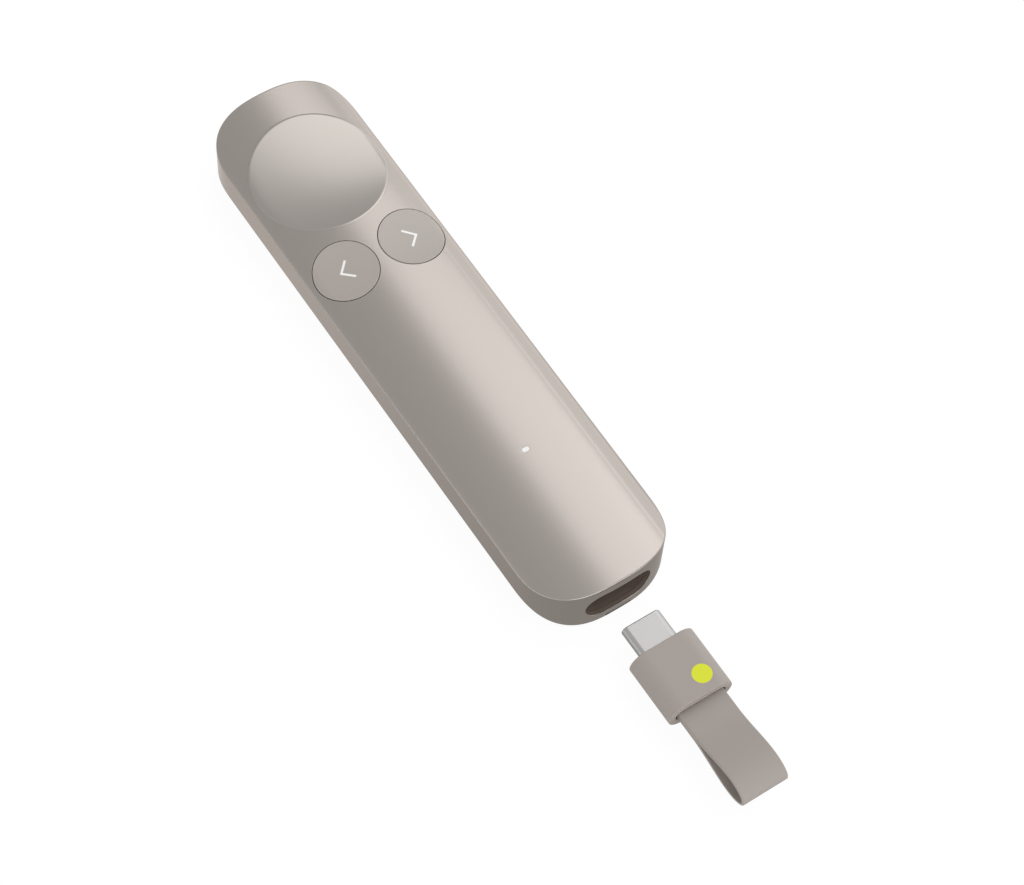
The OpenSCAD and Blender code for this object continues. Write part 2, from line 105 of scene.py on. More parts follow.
CAP_W = cap_high.x - cap_low.x
CAP_H = cap_high.z - cap_low.z
CAP_REAR = cap_low.y
CAP_FRONT = cap_high.y
SLOT_Z = (cap_low.z + cap_high.z) / 2
SLOT_GAP = 0.2
SLOT_W = CAP_W + 2 * SLOT_GAP
SLOT_H = CAP_H + 2 * SLOT_GAP
CAP_WALL = 0.9
REAR_T = 1.4
SHADE_SHEET_T = 0.05
SHADE_SHEET_IN = 0.2  # from the casing's outer face to the sheet of painted shade
STRAP_SLOT_W = 10.9
STRAP_SLOT_H = 3.2
STRAP_W = 9.8
STRAP_T = 0.6
STRAP_L = 20
LOOP_H = 5.7
NECK_L = 7.2
ROUND_L = 4.6
EYE_IN_R = 0.45
EYE_R = EYE_IN_R + STRAP_T
PIN_Y = CAP_REAR + 2.6
PLUG_W = 8.25
PLUG_H = 2.4
PLUG_WALL = 0.2
PLUG_CLOSER = 0.2  # by which its opening is lower and narrower; CAD 0
PLUG_TIP = cad("usb_plug_shell")[1].y
PLUG_IN = cad("usb_plug_shell")[0].y
MARK_X = 2.4
MARK_Y = CAP_FRONT - 9
MARK_R = 1.9
MARK_PROUD = 0.015  # CAD 0
MARK_T = 0.2

# rounding of edges
SOFT_X = 1.6  # half the width over which the crown turns into its shoulder
EDGE_R = 0.4  # upper edge of the casing
FOOT_R = 0.5  # lower edge of its side walls
LIP_R = 0.07  # holes in the casing
GROOVE_LIP = 0.04  # the pry groove
PAD_LIP_R = 0.008  # the pad's edge and the hole round it, between which no line shows
KEY_R = 0.12  # buttons
CAP_R = 0.18  # the receiver's cap
CAP_SLOT_R = 0.12  # the strap's slot in it
PLUG_R = 0.25  # tip of the plug
PLUG_IN_R = 0.1  # its opening
BAND_R = 0.22  # outer edges of the strap
BAND_IN_R = 0.1  # edges of its opening
EYE_LIP_R = 0.02  # edges of its eye

# how finely curves are divided
END_STEPS = 24
SIDE_STEPS = 40
END_SKIP = 11  # points of either corner that stay out of the lower end's wall
ROUND_STEPS = 96
SMALL_STEPS = 64
GROOVE_STEPS = 32
PILL_FLAT_STEPS = 8
FILLET_STEPS = 5
PAD_STEPS = 28
KEY_STEPS = 14
LOOP_STEPS = 32
BEND_STEPS = 24
NECK_STEPS = 8
EYE_STEPS = 32
SURFACE_STEPS = 8  # towards the place where a line meets the crown
DISH_BLEND = 6  # power of the radius by which the pad takes on the crown's shoulders
INLAY_BOW = 0.0001  # of an inlay's sides, on which the triangles then agree
WELD_DIGITS = 6  # decimals of a millimetre to which points in one place agree
TINY = 1e-6  # least value under a square root
MERGE = 1e-7  # distance at which a filled face's points become one

# distance between the inner points of a filled face
GRID = 1.2
FINE = 0.35  # across the crown's shoulders
FINE_X = 10  # where those columns start
COVER_GRID = 1.6
END_GRID = 0.8
BAND_GRID = 0.5
ARROW_GRID = 0.4
WINDOW_GRID = 0.3
MARK_GRID = 0.5
ROW = math.sqrt(0.75)  # share of it between two rows
ROOM = 0.45  # share of it that stays clear along a rim
COLUMN_ROOM = 0.25  # the same where the points stand in columns

# ---- the camera that saw the object, in metres and degrees, as fitted to the photo
CAMERA_AT = Vector((-0.169129, -0.246844, 0.504826))
CAMERA_AZIMUTH = -37.57
CAMERA_ELEVATION = 60.81
CAMERA_ROLL = 4.78
CAMERA_FOCUS_PX = 3063.33
PHOTO_W = 1024
SENSOR_MM = 36

# ---- floor, world and lights
FLOOR_GAP = 0.02  # mm between the floor and the underside, which would flicker if they met
FLOOR_SIZE = 6  # metres
FLOOR_GREY = 0.8
FLOOR_ROUGH = 0.9
FLOOR_GLOW = 1.04  # at which the camera sees it as white
FLOOR_SHARE = 0.9  # of that glow in what the camera, gloss and glass see; the rest is shaded
# its glow to gloss and glass, which paints reflections into the satin metal: a painted highlight
# to the right and painted shade towards the lower end. It is the sum of two ramps: axis, metres
# between which it changes, and its level at both
FLOOR_RAMPS = (("X", 0.03, 0.06, 0, 0.9), ("Y", -0.072, 0.03, 0.72, 1.3))
WORLD_LEVEL = 0.65  # of the world's light on the object
# what camera, gloss and glass see of the world: directions along Y between which it changes,
# and its level at both
SKY_RAMP = (0.4, 0.55, 1.0, 0.9)
LIGHT_FAR = 1.2  # metres from the middle of the object
# name, degrees along and up, size in metres, turn in degrees, radiance
SOFTBOXES = (
    ("key_softbox", 26, 6, (0.63, 1.6), -7.5, 1.4),
    ("side_softbox", 74, 2.5, (2.0, 2.0), 0, 0.85),
    ("front_softbox", 0, -75, (1.4, 0.5), 0, 2.4),
    ("low_softbox", -83, -15, (0.3, 2.6), 0, 1.7),
)


# ---- surfaces of the casing

turn = math.asin(SHOULDER_X / CROWN_R)
SHOULDER_CX = SHOULDER_X - SHOULDER_R * math.sin(turn)
SHOULDER_CZ = BODY_T - CROWN_R + (CROWN_R - SHOULDER_R) * math.cos(turn)
BELLY_R = ((HALF_W - BELLY_X) ** 2 + SIDE_Z**2) / (2 * SIDE_Z)


def crown(x, drop=0.0):
    """Height of the crowned top at x, or of the face drop below it, and the slope there."""
    side = math.copysign(1, x)
    x = abs(x)
    if x < (CROWN_R - drop) * math.sin(turn):
        r, cx, cz = CROWN_R - drop, 0, BODY_T - CROWN_R
    else:
        r, cx, cz = SHOULDER_R - drop, SHOULDER_CX, SHOULDER_CZ
    rise = math.sqrt(max(r * r - (x - cx) ** 2, TINY))
    # the curvature's step at the shoulder is eased over SOFT_X to either side
    near = max(1 - abs(x - SHOULDER_X) / SOFT_X, 0)
    bend = (1 / SHOULDER_R - 1 / CROWN_R) * SOFT_X / 4
    soft = bend * SOFT_X / 3 * near**3
    lean = -math.copysign(bend * near**2, x - SHOULDER_X)
    return cz + rise - soft, -side * ((x - cx) / rise + lean)


def belly(x, rise=0.0):
    """Height of the underside at x, or of the face rise above it, and the slope there."""
    side = math.copysign(1, x)
    out = max(abs(x) - BELLY_X, 0)
    r = BELLY_R - rise
    up = math.sqrt(max(r * r - out * out, TINY))
    return BELLY_R - up, side * out / up


def face_normal(slope, up=1):
    """Unit normal of a face that slopes along x."""
    return Vector((-slope * up, 0, up)).normalized()


def outline(inset):
    """Points of the casing's outline, drawn in by inset, each with its outward normal."""
    b = END_L
    c = HALF_L - END_L
    quarter = []
    for i in range(END_STEPS + 1):
        t = math.pi / 2 * i / END_STEPS
        u = math.cos(t) ** (2 / END_POWER)
        v = math.sin(t) ** (2 / END_POWER)
        n = Vector((u ** (END_POWER - 1) / HALF_W, v ** (END_POWER - 1) / b)).normalized()
        quarter.append((Vector((HALF_W * u, c + b * v)), n))
    end = quarter + [(Vector((-p.x, p.y)), Vector((-n.x, n.y))) for p, n in quarter[-2::-1]]
    side = [
        (Vector((-HALF_W, c - 2 * c * i / SIDE_STEPS)), Vector((-1, 0)))
        for i in range(1, SIDE_STEPS)
    ]
    half = end + side
    whole = half + [(-p, -n) for p, n in half]
    return [(p - n * inset, n) for p, n in whole]


# ---- mesh building


class Piece:
    """A mesh in the making: points in millimetres with their normals, and faces."""

    def __init__(self):
        self.points = []
        self.normals = []
        self.faces = []

    def add(self, point, normal=(0, 0, 0)):
        """A new point. Without a normal it takes that of its faces."""
        self.points.append(Vector(point))
        self.normals.append(Vector(normal))
        return len(self.points) - 1

    def ring(self, pairs):
        """New points from pairs of a point and its normal."""
        return [self.add(p, n) for p, n in pairs]

    def bridge(self, a, b):
        """Joins two rings of as many points."""
        n = len(a)
        for i in range(n):
            j = (i + 1) % n
            self.faces.append((a[i], a[j], b[j], b[i]))

    def chain(self, rings, closed=False):
        """Joins each ring to the next, and where closed the last to the first."""
        for a, b in zip(rings, rings[1:]):
            self.bridge(a, b)
        if closed:
            self.bridge(rings[-1], rings[0])

    def fan(self, ring, centre, normal=(0, 0, 0)):
        """Closes a ring round a middle point."""
        m = self.add(centre, normal)
        n = len(ring)
        self.faces += [(ring[i], ring[(i + 1) % n], m) for i in range(n)]

    def fill(self, outer, holes, flat, lift, grid=GRID, columns=None):
        """Fills the face inside outer and outside holes. flat gives a point's place in the plane,
        and lift gives the point and normal that belong to a place. On a face that only bends
        across its columns, the inner points stand in them."""
        loops = [outer] + holes
        index = [i for loop in loops for i in loop]
        places = [Vector(flat(self.points[i])) for i in index]
        rim = np.array([tuple(p) for p in places])
        edges = []
        polygons = []
        start = 0
        for loop in loops:
            n = len(loop)
            edges += [(start + k, start + (k + 1) % n) for k in range(n)]
            polygons.append(rim[start : start + n])
            start += n
        low, high = rim.min(0), rim.max(0)
        shift = 0 if columns else grid / 2
        us = columns or np.arange(low[0] + grid / 2, high[0], grid)
        vs = np.arange(low[1] + grid / 2, high[1], grid * ROW)
        inner = np.array([(u + shift * (k % 2), v) for k, v in enumerate(vs) for u in us])
        inner = inner[between(inner, polygons)]
        gap = np.sqrt(((inner[:, None, :] - rim[None, :, :]) ** 2).sum(2)).min(1)
        inner = inner[gap > (COLUMN_ROOM if columns else ROOM) * grid]
        for u, v in inner:
            point, normal = lift(u, v)
            index.append(self.add(point, normal))
            places.append(Vector((u, v)))
        _, _, faces, origin, _, _ = delaunay_2d_cdt(places, edges, [], 0, MERGE)
        middles = np.array(
            [sum((places[origin[k][0]] for k in f), Vector((0, 0))) / len(f) for f in faces]
        )
        inside = between(middles, polygons)
        for f, ok in zip(faces, inside):
            if ok:
                self.faces.append(tuple(index[origin[k][0]] for k in f))

    def make(self, name):
        """The finished mesh object, in metres. Points in one place, which a sharp edge has for
        its two normals, become one, and the faces between them go."""
        place = {}
        points = []
        same = []
        for p in self.points:
            key = tuple(round(c, WELD_DIGITS) for c in p)
            if key not in place:
                place[key] = len(points)
                points.append(p * MM)
            same.append(place[key])
        faces = []
        normal_at = []
        for face in self.faces:
            kept = [i for k, i in enumerate(face) if same[i] != same[face[k - 1]]]
            if len(kept) > 2:
                faces.append([same[i] for i in kept])
                normal_at.append({same[i]: tuple(self.normals[i]) for i in kept})
        mesh = bpy.data.meshes.new(name)
        mesh.from_pydata(points, [], faces)
        b = bmesh.new()
        b.from_mesh(mesh)
        bmesh.ops.recalc_face_normals(b, faces=b.faces)
        b.to_mesh(mesh)
        b.free()
        mesh.shade_smooth()
        mesh.normals_split_custom_set(
            [
                normal_at[face.index][mesh.loops[k].vertex_index]
                for face in mesh.polygons
                for k in face.loop_indices
            ]
        )
        obj = bpy.data.objects.new(name, mesh)
        bpy.context.scene.collection.objects.link(obj)
        return obj


def between(points, polygons):
    """Which points lie inside the first polygon and outside the others."""
    keep = np.ones(len(points), bool)
    x, y = points[:, :1], points[:, 1:]
    for k, poly in enumerate(polygons):
        x1, y1 = poly[:, 0], poly[:, 1]
        x2, y2 = np.roll(x1, -1), np.roll(y1, -1)
        crosses = (y1 > y) != (y2 > y)
        span = np.where(y2 == y1, 1, y2 - y1)
        at = (x2 - x1) * (y - y1) / span + x1
        inside = (crosses & (x < at)).sum(1) % 2 == 1
        keep &= inside if k == 0 else ~inside
    return keep


def pill(w, h, steps=ROUND_STEPS):
    """Points round a flat oval of width w and height h in a plane, each with its normal."""
    flat = PILL_FLAT_STEPS
    arc = steps // 2 - flat
    r = h / 2
    s = max(w - h, 0) / 2
    out = []
    for side in (1, -1):
        for i in range(arc):
            a = math.pi * (i / arc - 0.5)
            n = Vector((side * math.cos(a), side * math.sin(a)))
            out.append((Vector((side * s, 0)) + r * n, n))
        for i in range(flat):
            n = Vector((0, side))
            out.append((Vector((side * s * (1 - 2 * i / flat), side * r)), n))
    return out


def pill_ring(piece, w, h, y, lean):
    """A ring round an oval section at y. lean is the normal's angle: 0 outwards, 90 along +y,
    -90 along -y and 180 inwards."""
    c, s = math.cos(math.radians(lean)), math.sin(math.radians(lean))
    return piece.ring(
        (Vector((p.x, y, SLOT_Z + p.y)), Vector((c * n.x, s, c * n.y))) for p, n in pill(w, h)
    )


def pill_fillet(piece, w, h, y, r, start, end, inward=False):
    """Rings round a rounded edge of an oval section whose corner would be at w, h and y."""
    rings = []
    toward = math.copysign(1, math.sin(math.radians((start + end) / 2)))
    for i in range(FILLET_STEPS + 1):
        lean = start + (end - start) * i / FILLET_STEPS
        c, s = math.cos(math.radians(lean)), math.sin(math.radians(lean))
        grow = r * (abs(c) - 1) * (-1 if inward else 1)
        along = y + toward * r * (abs(s) - 1)
        rings.append(pill_ring(piece, w + 2 * grow, h + 2 * grow, along, lean))
    return rings


# ---- the casing's shell


def hole_frame(x, y):
    """Middle, axis and two directions across of a round hole that is square to the crown."""
    z, slope = crown(x)
    axis = face_normal(slope)
    across = Vector((axis.z, 0, -axis.x))
    return Vector((x, y, z)), axis, across, Vector((0, 1, 0))


def angles(steps=ROUND_STEPS):
    """Angles round a whole turn."""
    return [2 * math.pi * k / steps for k in range(steps)]


def outwards(hole, a):
    """Direction away from a hole's axis at angle a."""
    _, _, across, along = hole
    return across * math.cos(a) + along * math.sin(a)


def on_crown(hole, r, a, drop=0.0):
    """Point of the crown, or of the face drop below it, at radius r and angle a of a hole."""
    centre, axis, across, along = hole
    start = centre + across * (r * math.cos(a)) + along * (r * math.sin(a))
    t = -drop
    for _ in range(SURFACE_STEPS):
        p = start + axis * t
        z, slope = crown(p.x, drop)
        t -= (p.z - z) / (axis.z - slope * axis.x)
    return start + axis * t


def round_hole(piece, hole, r, lip):
    """Lip and wall of a round hole. Returns its rims in the outer and the inner face."""
    axis = hole[1]
    rings = []
    for i in range(FILLET_STEPS):
        t = math.pi / 2 * i / (FILLET_STEPS - 1)
        pairs = []
        for a in angles():
            p = on_crown(hole, r + lip * (1 - math.sin(t)), a)
            top = face_normal(crown(p.x)[1])
            p -= axis * (lip * (1 - math.cos(t)))
            pairs.append((p, top * math.cos(t) - outwards(hole, a) * math.sin(t)))
        rings.append(piece.ring(pairs))
    rings.append(
        piece.ring((on_crown(hole, r, a, TOP_WALL), -outwards(hole, a)) for a in angles())
    )
    piece.chain(rings)
    return rings[0], rings[-1]


def led_hole(piece):
    """The status light's opening."""
    rings = []
    for grow, drop in ((PAD_LIP_R, 0), (0, PAD_LIP_R), (0, TOP_WALL)):
        pairs = []
        for p, n in pill(LED_W + 2 * (LED_GAP + grow), LED_H + 2 * (LED_GAP + grow)):
            z = crown(p.x)[0] - drop
            normal = Vector((0, 0, 1)) if grow else Vector((-n.x, -n.y, 0))
            pairs.append((Vector((p.x, LED_Y + p.y, z)), normal))
        rings.append(piece.ring(pairs))
    piece.chain(rings)
    return rings[0], rings[-1]


def edge_rings(piece, surface, r, up, inset=0.0):
    """Rings of a rounded edge between the outline's wall and a face that slopes along x."""
    rings = []
    for i in range(FILLET_STEPS + 1):
        pairs = []
        for p, n in outline(inset):
            z, slope_x = surface(p.x)
            slope = slope_x * n.x
            full = math.hypot(1, slope)
            cz = z - slope * r - up * r * full
            face = math.atan2(up, -slope * up)
            lean = face - face * i / FILLET_STEPS
            d = r * math.cos(lean) - r
            if i == 0:  # the first ring lies on the face itself
                at = p + n * d
                pairs.append(
                    (Vector((*at, surface(at.x)[0])), face_normal(surface(at.x)[1], up))
                )
                continue
            normal = Vector((n.x * math.cos(lean), n.y * math.cos(lean), math.sin(lean)))
            pairs.append((Vector((*(p + n * d), cz + r * math.sin(lean))), normal))
        rings.append(piece.ring(pairs))
    piece.chain(rings)
    return rings


def flat_xy(p):
    """Place of a point seen from above."""
    return p.x, p.y


def lift_to(surface, up):
    """The way back from a place seen from above to a surface that faces up, or down at -1."""

    def lift(x, y):
        z, slope = surface(x)
        return Vector((x, y, z)), face_normal(slope, up)

    return lift


def lower_end():
    """The stretch of a ring of the outline across the lower end, where the opening is."""
    first = 2 * END_STEPS + SIDE_STEPS
    return first + END_SKIP, first + 2 * END_STEPS - END_SKIP


def end_wall(piece, upper, lower, inset, openings):
    """The lower end's wall round its openings, between two rings of the outline."""
    i0, i1 = lower_end()
    row = sorted((p.x, p.y) for p, _ in outline(inset)[i0 - 2 : i1 + 3])
    xs = np.array([p[0] for p in row])
    ys = np.array([p[1] for p in row])

    def lift(x, z):
        y = float(np.interp(x, xs, ys))
        return Vector((x, y, z)), end_normal(x, inset)

    rim = upper[i0 : i1 + 1] + lower[i0 : i1 + 1][::-1]
    piece.fill(rim, openings, lambda p: (p.x, p.z), lift, grid=END_GRID)


def end_normal(x, inset):
    """Outward normal of the lower end's wall, or the reverse inside it."""
    a = HALF_W - inset
    b = END_L - inset
    u = min(abs(x) / a, 1) ** (END_POWER - 1) / a
    v = max(1 - (abs(x) / a) ** END_POWER, 0) ** ((END_POWER - 1) / END_POWER) / b
    n = Vector((math.copysign(u, x), -v, 0)).normalized()
    return -n if inset else n


def end_y(x, inset):
    """Place of the lower end's wall at x."""
    a = HALF_W - inset
    b = END_L - inset
    return -(HALF_L - END_L) - b * max(1 - (abs(x) / a) ** END_POWER, 0) ** (1 / END_POWER)


def slot_rings(piece):
    """The receiver's opening through the lower end's wall. Returns its outer and inner rim."""
    rings = []
    for i in range(FILLET_STEPS):
        t = math.pi / 2 * i / (FILLET_STEPS - 1)
        grow = 2 * LIP_R * (1 - math.sin(t))
        pairs = []
        for p, n in pill(SLOT_W + 2 * grow, SLOT_H + 2 * grow):
            wall = end_normal(p.x, 0)
            y = end_y(p.x, 0) + 2 * LIP_R * (1 - math.cos(t))
            point = Vector((p.x, y, SLOT_Z + p.y))
            pairs.append((point, wall * math.cos(t) - Vector((n.x, 0, n.y)) * math.sin(t)))
        rings.append(piece.ring(pairs))
    inner = []
    for p, n in pill(SLOT_W, SLOT_H):
        inner.append((Vector((p.x, end_y(p.x, WALL), SLOT_Z + p.y)), Vector((-n.x, 0, -n.y))))
    rings.append(piece.ring(inner))
    piece.chain(rings)
    return rings[0], rings[-1]


def pry_groove(piece):
    """The narrow pocket under the receiver's opening. Returns its rim."""
    rings = []
    bottom = -HALF_L + GROOVE_DEPTH
    for grow, y in ((GROOVE_LIP, None), (0, -HALF_L + 2 * GROOVE_LIP), (0, bottom)):
        pairs = []
        for p, n in pill(GROOVE_W + 2 * grow, GROOVE_H + 2 * grow, GROOVE_STEPS):
            wall_y = end_y(p.x, 0)
            normal = Vector((-n.x, 0, -n.y)) if y else end_normal(p.x, 0)
            pairs.append((Vector((p.x, max(y or wall_y, wall_y), GROOVE_Z + p.y)), normal))
        rings.append(piece.ring(pairs))
    piece.chain(rings)
    piece.fan(rings[-1], (0, bottom, GROOVE_Z), (0, -1, 0))
    return rings[0]


def painted_opening_shade():
    """A dark sheet over the wall of the receiver's opening through the lower end's wall: painted
    shade in the opening.
    """
    piece = Piece()
    rings = []
    for thick, inset, lean in (
        (0, SHADE_SHEET_IN, 1),
        (SHADE_SHEET_T, SHADE_SHEET_IN, -1),
        (SHADE_SHEET_T, WALL, -1),
        (0, WALL, 1),
    ):
        pairs = []
        for p, n in pill(SLOT_W - 2 * thick, SLOT_H - 2 * thick):
            point = Vector((p.x, end_y(p.x, inset), SLOT_Z + p.y))
            pairs.append((point, Vector((n.x, 0, n.y)) * lean))
        rings.append(piece.ring(pairs))
    piece.chain(rings, closed=True)
    return piece.make("opening_painted_shade")


def walls(piece, upper, lower):
    """Quads between two rings of the outline, except across the lower end."""
    n = len(upper)
    i0, i1 = lower_end()
    for i in range(n):
        if not i0 <= i < i1:
            j = (i + 1) % n
            piece.faces.append((upper[i], upper[j], lower[j], lower[i]))


def top_shell():
    """The casing: its crowned top, its side walls with the openings, and their inner faces."""
    piece = Piece()
    holes = [round_hole(piece, hole_frame(0, DISH_Y), DISH_R + DISH_GAP, PAD_LIP_R)]
    for side in (-1, 1):
        hole = hole_frame(side * BUTTON_X, BUTTON_Y)
        holes.append(round_hole(piece, hole, BUTTON_R + BUTTON_GAP, LIP_R))
    holes.append(led_hole(piece))
    slot_out, slot_in = slot_rings(piece)

    top = edge_rings(piece, crown, EDGE_R, 1)
    last = HALF_W - EDGE_R - FINE / 2
    half = [GRID / 2 + GRID * i for i in range(int(FINE_X / GRID))]
    half += [FINE_X + FINE * i for i in range(int((last - FINE_X) / FINE) + 1)]
    columns = [-x for x in reversed(half)] + half
    piece.fill(top[0], [h[0] for h in holes], flat_xy, lift_to(crown, 1), columns=columns)
    foot = edge_rings(piece, belly, FOOT_R, -1)
    end_wall(piece, top[-1], foot[-1], 0, [slot_out, pry_groove(piece)])
    walls(piece, top[-1], foot[-1])

    def inner_crown(x):
        return crown(x, TOP_WALL)

    ceiling = piece.ring(
        (Vector((*p, inner_crown(p.x)[0])), Vector((-n.x, -n.y, 0))) for p, n in outline(WALL)
    )
    hem = piece.ring(
        (Vector((*p, belly(p.x)[0])), face_normal(belly(p.x)[1], -1)) for p, n in outline(WALL)
    )
    inner_foot = piece.ring(
        (Vector((*p, belly(p.x)[0] + LIP_R)), Vector((-n.x, -n.y, 0)))
        for p, n in outline(WALL)
    )
    piece.bridge(foot[0], hem)
    piece.bridge(hem, inner_foot)
    end_wall(piece, ceiling, inner_foot, WALL, [slot_in])
    walls(piece, ceiling, inner_foot)
    piece.fill(ceiling, [h[1] for h in holes], flat_xy, lift_to(inner_crown, -1))
    return piece.make("top_shell_skin")


def bottom_cover():
    """The plate that closes the underside."""
    piece = Piece()
    inset = WALL + COVER_GAP
    rim = edge_rings(piece, belly, LIP_R, -1, inset)

    def inside(x):
        return belly(x, COVER_T)

    top = piece.ring(
        (Vector((*p, inside(p.x)[0])), Vector((n.x, n.y, 0))) for p, n in outline(inset)
    )
    piece.bridge(rim[-1], top)
    piece.fill(rim[0], [], flat_xy, lift_to(belly, -1), grid=COVER_GRID)
    piece.fill(top, [], flat_xy, lift_to(inside, 1), grid=COVER_GRID)
    return piece.make("bottom_cover_skin")


# ---- pointer pad and buttons


def dish_top(r, a):
    """Point of the hollowed pad's face at radius r and angle a. The crown's shoulders only show
    near its rim."""
    x = r * math.cos(a)
    round_top = BODY_T - CROWN_R + math.sqrt(CROWN_R**2 - x * x)
    near = (r / DISH_R) ** DISH_BLEND
    z = crown(x)[0] * near + round_top * (1 - near) - DISH_DEPTH * (1 - (r / DISH_R) ** 2)
    return Vector((x, DISH_Y + r * math.sin(a), z))


def pointer_dish():
    """The pad: its hollowed face, its side and the pocket under it."""
    piece = Piece()
    rings = []
    for i in range(1, PAD_STEPS + 1):
        r = (DISH_R - PAD_LIP_R) * i / PAD_STEPS
        rings.append([piece.add(dish_top(r, a)) for a in angles()])
    piece.chain(rings)
    piece.fan(rings[0], dish_top(0, 0))
    side = []
    profile = [(DISH_R, None), (DISH_R, DISH_BASE), (POCKET_R, DISH_BASE), (POCKET_R, POCKET_TOP)]
    for r, z in profile:
        ring = []
        for a in angles():
            x, y = r * math.cos(a), DISH_Y + r * math.sin(a)
            ring.append(piece.add((x, y, crown(x)[0] - PAD_LIP_R if z is None else z)))
        side.append(ring)
    piece.bridge(rings[-1], side[0])
    piece.chain(side)
    piece.fan(side[-1], (0, DISH_Y, POCKET_TOP))
    return piece.make("pointer_dish_face")


def key_top(side, x, y):
    """Height and normal of a button's face: the crown, a little proud and faintly hollowed."""
    hole, axis, _, _ = hole_frame(side * BUTTON_X, BUTTON_Y)
    z, slope = crown(x)
    dx, dy = (x - hole.x) / axis.z, y - hole.y
    rise = BUTTON_PROUD - BUTTON_HOLLOW * (1 - (dx * dx + dy * dy) / BUTTON_R**2)
    bend = 2 * BUTTON_HOLLOW / BUTTON_R**2
    return z + rise, Vector((-slope - bend * dx, -bend * dy, 1)).normalized()


def button(side):
    """The back button at side -1, or the next button at side 1."""
    piece = Piece()
    hole = hole_frame(side * BUTTON_X, BUTTON_Y)
    centre, axis, _, _ = hole
    rings = []

    def face(r, a, drop=0.0):
        p = on_crown(hole, r, a)
        z, top = key_top(side, p.x, p.y)
        return Vector((p.x, p.y, z)) - axis * drop, top

    for i in range(1, KEY_STEPS + 1):
        r = (BUTTON_R - KEY_R) * i / KEY_STEPS
        rings.append(piece.ring(face(r, a) for a in angles()))
    for i in range(1, FILLET_STEPS + 1):
        t = math.pi / 2 * i / FILLET_STEPS
        r = BUTTON_R - KEY_R * (1 - math.sin(t))
        pairs = []
        for a in angles():
            p, top = face(r, a, KEY_R * (1 - math.cos(t)))
            pairs.append((p, top * math.cos(t) + outwards(hole, a) * math.sin(t)))
        rings.append(piece.ring(pairs))
    outs = [outwards(hole, a) for a in angles()]
    for r, depth, lean in (
        (BUTTON_R, SKIRT_H, 1),
        (BUTTON_R - SKIRT_T, SKIRT_H, -1),
        (BUTTON_R - SKIRT_T, BUTTON_T, -1),
    ):
        rings.append(piece.ring((centre + out * r - axis * depth, out * lean) for out in outs))
    piece.chain(rings)
    z, top = key_top(side, centre.x, centre.y)
    piece.fan(rings[0], (centre.x, centre.y, z), top)
    piece.fan(rings[-1], centre - axis * BUTTON_T)
    return piece.make("back_button_face" if side < 0 else "next_button_face")


def inlay(name, corners, surface, proud, depth, step):
    """A thin plate with a polygon's outline, laid into a surface. surface gives the height and
    normal at a place."""
    sides = [(Vector(a), Vector(b)) for a, b in zip(corners, corners[1:] + corners[:1])]
    turned = math.copysign(1, sum(a.cross(b) for a, b in sides))
    rim = []
    for a, b in sides:
        parts = max(1, round((b - a).length / step))
        inward = Vector((a.y - b.y, b.x - a.x)).normalized() * turned
        for k in range(parts):
            t = k / parts
            rim.append(a.lerp(b, t) + inward * (4 * INLAY_BOW * t * (1 - t)))
    piece = Piece()

    def raised(x, y):
        z, normal = surface(x, y)
        return Vector((x, y, z + proud)), normal

    def lowered(x, y):
        return raised(x, y)[0] - Vector((0, 0, depth)), (0, 0, 0)

    top = piece.ring(raised(*p) for p in rim)
    edge = [piece.add(raised(*p)[0]) for p in rim]
    low = piece.ring(lowered(*p) for p in rim)
    piece.bridge(top, edge)
    piece.bridge(edge, low)
    piece.fill(top, [], flat_xy, raised, grid=step)
    piece.fill(low, [], flat_xy, lowered)
    return piece.make(name)


def arrow(side):
    """Chevron of one button, its point outwards."""
    q = math.sqrt(0.5)
    out = ARROW_W * q
    arm = ARROW_L * q
    tip = side * (BUTTON_X + arm / 2)
    corners = [
        (tip + side * out, 0),
        (tip - side * (arm - out / 2), arm + out / 2),
        (tip - side * (arm + out / 2), arm - out / 2),
        (tip - side * out, 0),
        (tip - side * (arm + out / 2), -arm + out / 2),
        (tip - side * (arm - out / 2), -arm - out / 2),
    ]
    corners = [(x, BUTTON_Y + y) for x, y in corners]
    name = "back_arrow_print" if side < 0 else "next_arrow_print"

    def surface(x, y):
        return key_top(side, x, y)

    return inlay(name, corners, surface, ARROW_PROUD, ARROW_T, ARROW_GRID)


def light_window():
    """The status light's window, flush with the crown."""
    corners = [(p.x, LED_Y + p.y) for p, _ in pill(LED_W, LED_H, SMALL_STEPS)]

    def surface(x, _):
        z, slope = crown(x)
        return z, face_normal(slope)

    return inlay("light_window", corners, surface, 0, WINDOW_T, WINDOW_GRID)


# ---- receiver


def receiver_cap():
    """The receiver's body, with the strap's slot in its rear wall."""
    piece = Piece()
    slot = STRAP_SLOT_W, STRAP_SLOT_H
    hollow = CAP_W - 2 * CAP_WALL, CAP_H - 2 * CAP_WALL
    rear = CAP_REAR + REAR_T
    rings = [pill_ring(piece, *slot, rear, 180)]
    rings += pill_fillet(piece, *slot, CAP_REAR, CAP_SLOT_R, -180, -90, inward=True)
    rings += pill_fillet(piece, CAP_W, CAP_H, CAP_REAR, CAP_R, -90, 0)
    rings += pill_fillet(piece, CAP_W, CAP_H, CAP_FRONT, CAP_R, 0, 90)
    rings.append(pill_ring(piece, *hollow, CAP_FRONT, 90))
    rings.append(pill_ring(piece, *hollow, CAP_FRONT, 180))
    rings.append(pill_ring(piece, *hollow, rear, 180))
    rings.append(pill_ring(piece, *hollow, rear, 90))
    rings.append(pill_ring(piece, *slot, rear, 90))
    piece.chain(rings, closed=True)
    return piece.make("receiver_cap_body")


def receiver_mark():
    """A plain round dot."""
    corners = [
        (MARK_X + MARK_R * math.cos(a), MARK_Y + MARK_R * math.sin(a))
        for a in angles(SMALL_STEPS)
    ]

    def surface(*_):
        return cap_high.z, Vector((0, 0, 1))

    return inlay("receiver_dot", corners, surface, MARK_PROUD, MARK_T, MARK_GRID)


